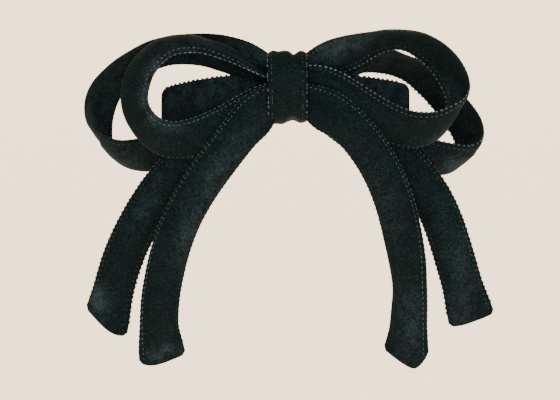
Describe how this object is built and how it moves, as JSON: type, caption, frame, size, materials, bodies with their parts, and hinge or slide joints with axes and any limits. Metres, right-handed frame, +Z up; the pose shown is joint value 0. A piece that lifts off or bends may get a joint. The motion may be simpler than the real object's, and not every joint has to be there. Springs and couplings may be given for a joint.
{
  "type": "hair bow",
  "caption": "Velvet hair bow with stacked loops, hanging tails and a wrapped knot, on an arched steel barrette with a sprung clasp.",
  "frame": {"origin": "middle of the arched barrette plate, where the bow is fastened to the hair clasp", "axes": "+X to the viewer's right along the clasp, +Z up, -Y out of the bow's front"},
  "size_m": [0.151, 0.0364, 0.1232],
  "materials": {
    "velvet": "black velvet with a faint green cast and a soft sheen",
    "thread": "matt black polyester thread",
    "glue": "cured hot-melt glue",
    "plated_steel": "nickel-plated pressed steel",
    "spring_steel": "polished spring steel"
  },
  "bodies": {
    "bow": {"left_front_loop": "velvet", "left_rear_loop": "velvet", "right_front_loop": "velvet", "right_rear_loop": "velvet", "left_inner_tail_root": "velvet", "left_outer_tail_root": "velvet", "right_inner_tail_root": "velvet", "right_outer_tail_root": "velvet", "knot_wrap": "velvet", "binding_thread": "thread", "knot_stitches": "thread", "bow_glue_pad": "glue", "barrette_cover": "velvet", "cover_adhesive": "glue", "barrette_plate": "plated_steel", "hinge_pin": "plated_steel", "catch_bracket": "plated_steel", "catch_rivet": "plated_steel"},
    "left_inner_tail": {"left_inner_tail": "velvet"},
    "left_outer_tail": {"left_outer_tail": "velvet"},
    "right_inner_tail": {"right_inner_tail": "velvet"},
    "right_outer_tail": {"right_outer_tail": "velvet"},
    "clasp_arm": {"clasp_arm": "plated_steel"},
    "tension_bar": {"tension_bar": "spring_steel"},
    "latch_upper": {"latch_upper": "spring_steel"},
    "latch_lower": {"latch_lower": "spring_steel"}
  },
  "joints": [
    {"name": "left_inner_tail_lift", "type": "hinge", "parent": "bow", "child": "left_inner_tail", "pos_m": [-0.0133, -0.0166, -0.0099], "axis": [-0.7808, 0, 0.6248], "range_deg": [0, 35], "stiffness_Nm_per_rad": 0.0005},
    {"name": "right_inner_tail_lift", "type": "hinge", "parent": "bow", "child": "right_inner_tail", "pos_m": [0.0134, -0.0168, -0.0065], "axis": [-0.5288, 0, -0.8487], "range_deg": [0, 35], "stiffness_Nm_per_rad": 0.0005},
    {"name": "left_outer_tail_swing", "type": "hinge", "parent": "bow", "child": "left_outer_tail", "pos_m": [-0.0454, -0.0085, -0.0336], "axis": [-0.7768, 0, 0.6298], "range_deg": [-8, 10], "stiffness_Nm_per_rad": 0.0005},
    {"name": "right_outer_tail_swing", "type": "hinge", "parent": "bow", "child": "right_outer_tail", "pos_m": [0.0476, -0.0085, -0.0315], "axis": [-0.7632, 0, -0.6462], "range_deg": [-8, 10], "stiffness_Nm_per_rad": 0.0005},
    {"name": "clasp_arm_hinge", "type": "hinge", "parent": "bow", "child": "clasp_arm", "pos_m": [-0.0395, 0.0126, 0], "axis": [0, 0, 1], "range_deg": [0, 75]},
    {"name": "latch_upper_squeeze", "type": "hinge", "parent": "bow", "child": "latch_upper", "pos_m": [0.0389, 0.0087, 0.0027], "axis": [-1, 0, 0], "range_deg": [0, 8], "stiffness_Nm_per_rad": 0.001},
    {"name": "latch_lower_squeeze", "type": "hinge", "parent": "bow", "child": "latch_lower", "pos_m": [0.0389, 0.0087, -0.0027], "axis": [1, 0, 0], "range_deg": [0, 8], "stiffness_Nm_per_rad": 0.001},
    {"name": "tension_bar_press", "type": "slide", "parent": "bow", "child": "tension_bar", "axis": [0, -1, 0], "range_m": [0, 0.001], "stiffness_N_per_m": 200}
  ]
}
